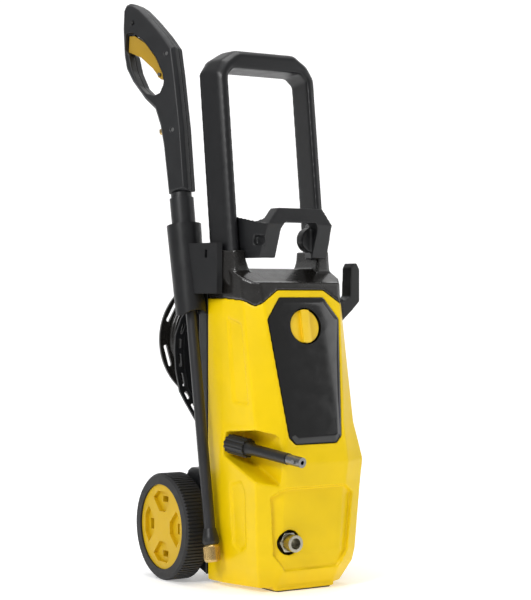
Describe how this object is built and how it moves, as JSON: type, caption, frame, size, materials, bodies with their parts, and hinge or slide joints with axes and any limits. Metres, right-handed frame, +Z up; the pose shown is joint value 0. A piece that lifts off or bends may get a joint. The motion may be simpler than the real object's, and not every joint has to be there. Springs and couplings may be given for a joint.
{
  "type": "pressure washer",
  "caption": "Upright electric pressure washer on two wheels with push handle, rotary switch, hose reel, trigger gun and lance, and a spare rotary nozzle",
  "frame": {"origin": "on the floor in the machine's middle plane, in the front part of the front foot", "axes": "+Z up, the control panel faces -Y, +X is the side with the cable hook and the water inlet"},
  "size_m": [0.2938, 0.3814, 0.8965],
  "materials": {
    "yellow_casing": "smooth moulded polypropylene with a low sheen",
    "yellow_wheel": "moulded polypropylene",
    "yellow_control": "fine satin moulded plastic",
    "trigger_yellow": "satin moulded plastic, ochre",
    "panel_gloss": "high-gloss black",
    "dark_frame": "fine-grained dark grey polypropylene",
    "grip_plastic": "fine-grained dark grey, slightly worn on the grip",
    "black_plastic": "satin black",
    "tyre_rubber": "ribbed black rubber",
    "soft_rubber": "matt rubber",
    "hose_gloss": "glossy black hose jacket",
    "brass": "turned brass",
    "reel_gloss": "black with a soft gloss",
    "nickel": "nickel-plated brass",
    "steel": "bright steel",
    "aluminium_cast": "cast aluminium",
    "lance_steel": "black coated steel tube",
    "copper_winding": "enamelled copper windings"
  },
  "bodies": {
    "machine": {"axle": "steel", "cable_gland": "soft_rubber", "cable_hook_base": "dark_frame", "capacitor": "black_plastic", "carry_handle": "dark_frame", "case_screws": "steel", "chassis": "dark_frame", "control_panel": "panel_gloss", "foot_pad": "soft_rubber", "front_cover": "yellow_casing", "gearbox_housing": "aluminium_cast", "gun_holder": "dark_frame", "inlet_fitting": "brass", "motor_bearings": "steel", "motor_housing": "aluminium_cast", "outlet_fitting": "nickel", "piston_spring_1": "steel", "piston_spring_2": "steel", "piston_spring_3": "steel", "pump_cradle": "black_plastic", "pump_head": "aluminium_cast", "push_handle": "dark_frame", "rear_cover": "dark_frame", "reel_frame": "dark_frame", "stator_winding": "copper_winding", "switch_body": "black_plastic", "top_cover": "dark_frame"},
    "wheel_left": {"tyre_left": "tyre_rubber", "wheel_rim_left": "yellow_wheel"},
    "wheel_right": {"tyre_right": "tyre_rubber", "wheel_rim_right": "yellow_wheel"},
    "knob": {"switch_knob": "yellow_control"},
    "rotor": {"motor_shaft": "steel", "rotor_core": "steel", "motor_fan": "black_plastic", "wobble_plate": "steel"},
    "piston_a": {"piston_1": "steel"},
    "piston_b": {"piston_2": "steel"},
    "piston_c": {"piston_3": "steel"},
    "hook": {"cable_hook": "black_plastic"},
    "gun": {"gun_shell_left": "grip_plastic", "gun_shell_right": "grip_plastic", "gun_screws": "steel", "gun_valve": "brass", "gun_inlet": "brass", "trigger_pin": "steel", "trigger_spring": "steel", "lance_tube": "lance_steel", "lance_grip": "grip_plastic", "lance_collar": "black_plastic"},
    "trigger_lever": {"trigger": "trigger_yellow"},
    "lock_pin": {"trigger_lock": "black_plastic"},
    "button": {"coupling_button": "brass"},
    "nozzle": {"lance_nozzle": "brass"},
    "spare_nozzle": {"spare_nozzle_head": "black_plastic", "spare_nozzle_bayonet": "steel"},
    "reel": {"reel_drum": "reel_gloss", "hose_coil": "hose_gloss", "hose_fitting_gun": "brass"},
    "crank_knob": {"reel_crank_knob": "black_plastic"}
  },
  "joints": [
    {"name": "wheel_left_spin", "type": "hinge", "parent": "machine", "child": "wheel_left", "pos_m": [-0.096, 0.168, 0.082], "axis": [1, 0, 0], "continuous": true},
    {"name": "wheel_right_spin", "type": "hinge", "parent": "machine", "child": "wheel_right", "pos_m": [0.096, 0.168, 0.082], "axis": [1, 0, 0], "continuous": true},
    {"name": "knob_turn", "type": "hinge", "parent": "machine", "child": "knob", "pos_m": [0, -0.025, 0.391], "axis": [0, -0.9833, 0.1819], "range_deg": [0, 90]},
    {"name": "motor_spin", "type": "hinge", "parent": "machine", "child": "rotor", "pos_m": [0, 0.033, 0.2], "axis": [0, 0, 1], "continuous": true},
    {"name": "piston_1_stroke", "type": "slide", "parent": "machine", "child": "piston_a", "axis": [0, 0, 1], "range_m": [-0.005, 0], "stiffness_N_per_m": 1500, "springref_m": 0.004, "deforming": ["piston_spring_1"]},
    {"name": "piston_2_stroke", "type": "slide", "parent": "machine", "child": "piston_b", "axis": [0, 0, 1], "range_m": [-0.005, 0], "stiffness_N_per_m": 1500, "springref_m": 0.004, "deforming": ["piston_spring_2"]},
    {"name": "piston_3_stroke", "type": "slide", "parent": "machine", "child": "piston_c", "axis": [0, 0, 1], "range_m": [-0.005, 0], "stiffness_N_per_m": 1500, "springref_m": 0.004, "deforming": ["piston_spring_3"]},
    {"name": "hook_swivel", "type": "hinge", "parent": "machine", "child": "hook", "pos_m": [0.098, 0.028, 0.415], "axis": [1, 0, 0], "range_deg": [0, 180]},
    {"name": "gun_lift", "type": "slide", "parent": "machine", "child": "gun", "axis": [0, 0.1676, 0.9858], "range_m": [0, 0.52]},
    {"name": "trigger_pull", "type": "hinge", "parent": "gun", "child": "trigger_lever", "pos_m": [-0.11841, 0.19343, 0.77909], "axis": [0.904, 0.4215, -0.0717], "range_deg": [0, 8], "stiffness_Nm_per_rad": 1, "springref_deg": -5.73},
    {"name": "trigger_lock_slide", "type": "slide", "parent": "gun", "child": "lock_pin", "axis": [0.904, 0.4215, -0.0717], "range_m": [0, 0.003]},
    {"name": "coupling_press", "type": "slide", "parent": "gun", "child": "button", "axis": [0.4276, -0.8912, 0.1515], "range_m": [0, 0.002], "stiffness_N_per_m": 800, "springref_m": -0.002},
    {"name": "nozzle_turn", "type": "hinge", "parent": "gun", "child": "nozzle", "pos_m": [-0.112, 0.054, 0.04], "axis": [0, 0.1676, 0.9858], "range_deg": [0, 90]},
    {"name": "reel_spin", "type": "hinge", "parent": "machine", "child": "reel", "pos_m": [0, 0.215, 0.3675], "axis": [0, 1, 0], "continuous": true},
    {"name": "crank_knob_spin", "type": "hinge", "parent": "reel", "child": "crank_knob", "pos_m": [0, 0.25, 0.2895], "axis": [0, 1, 0], "continuous": true},
    {"name": "spare_nozzle_pull", "type": "slide", "parent": "machine", "child": "spare_nozzle", "axis": [-1, 0, 0], "range_m": [0, 0.06]}
  ]
}
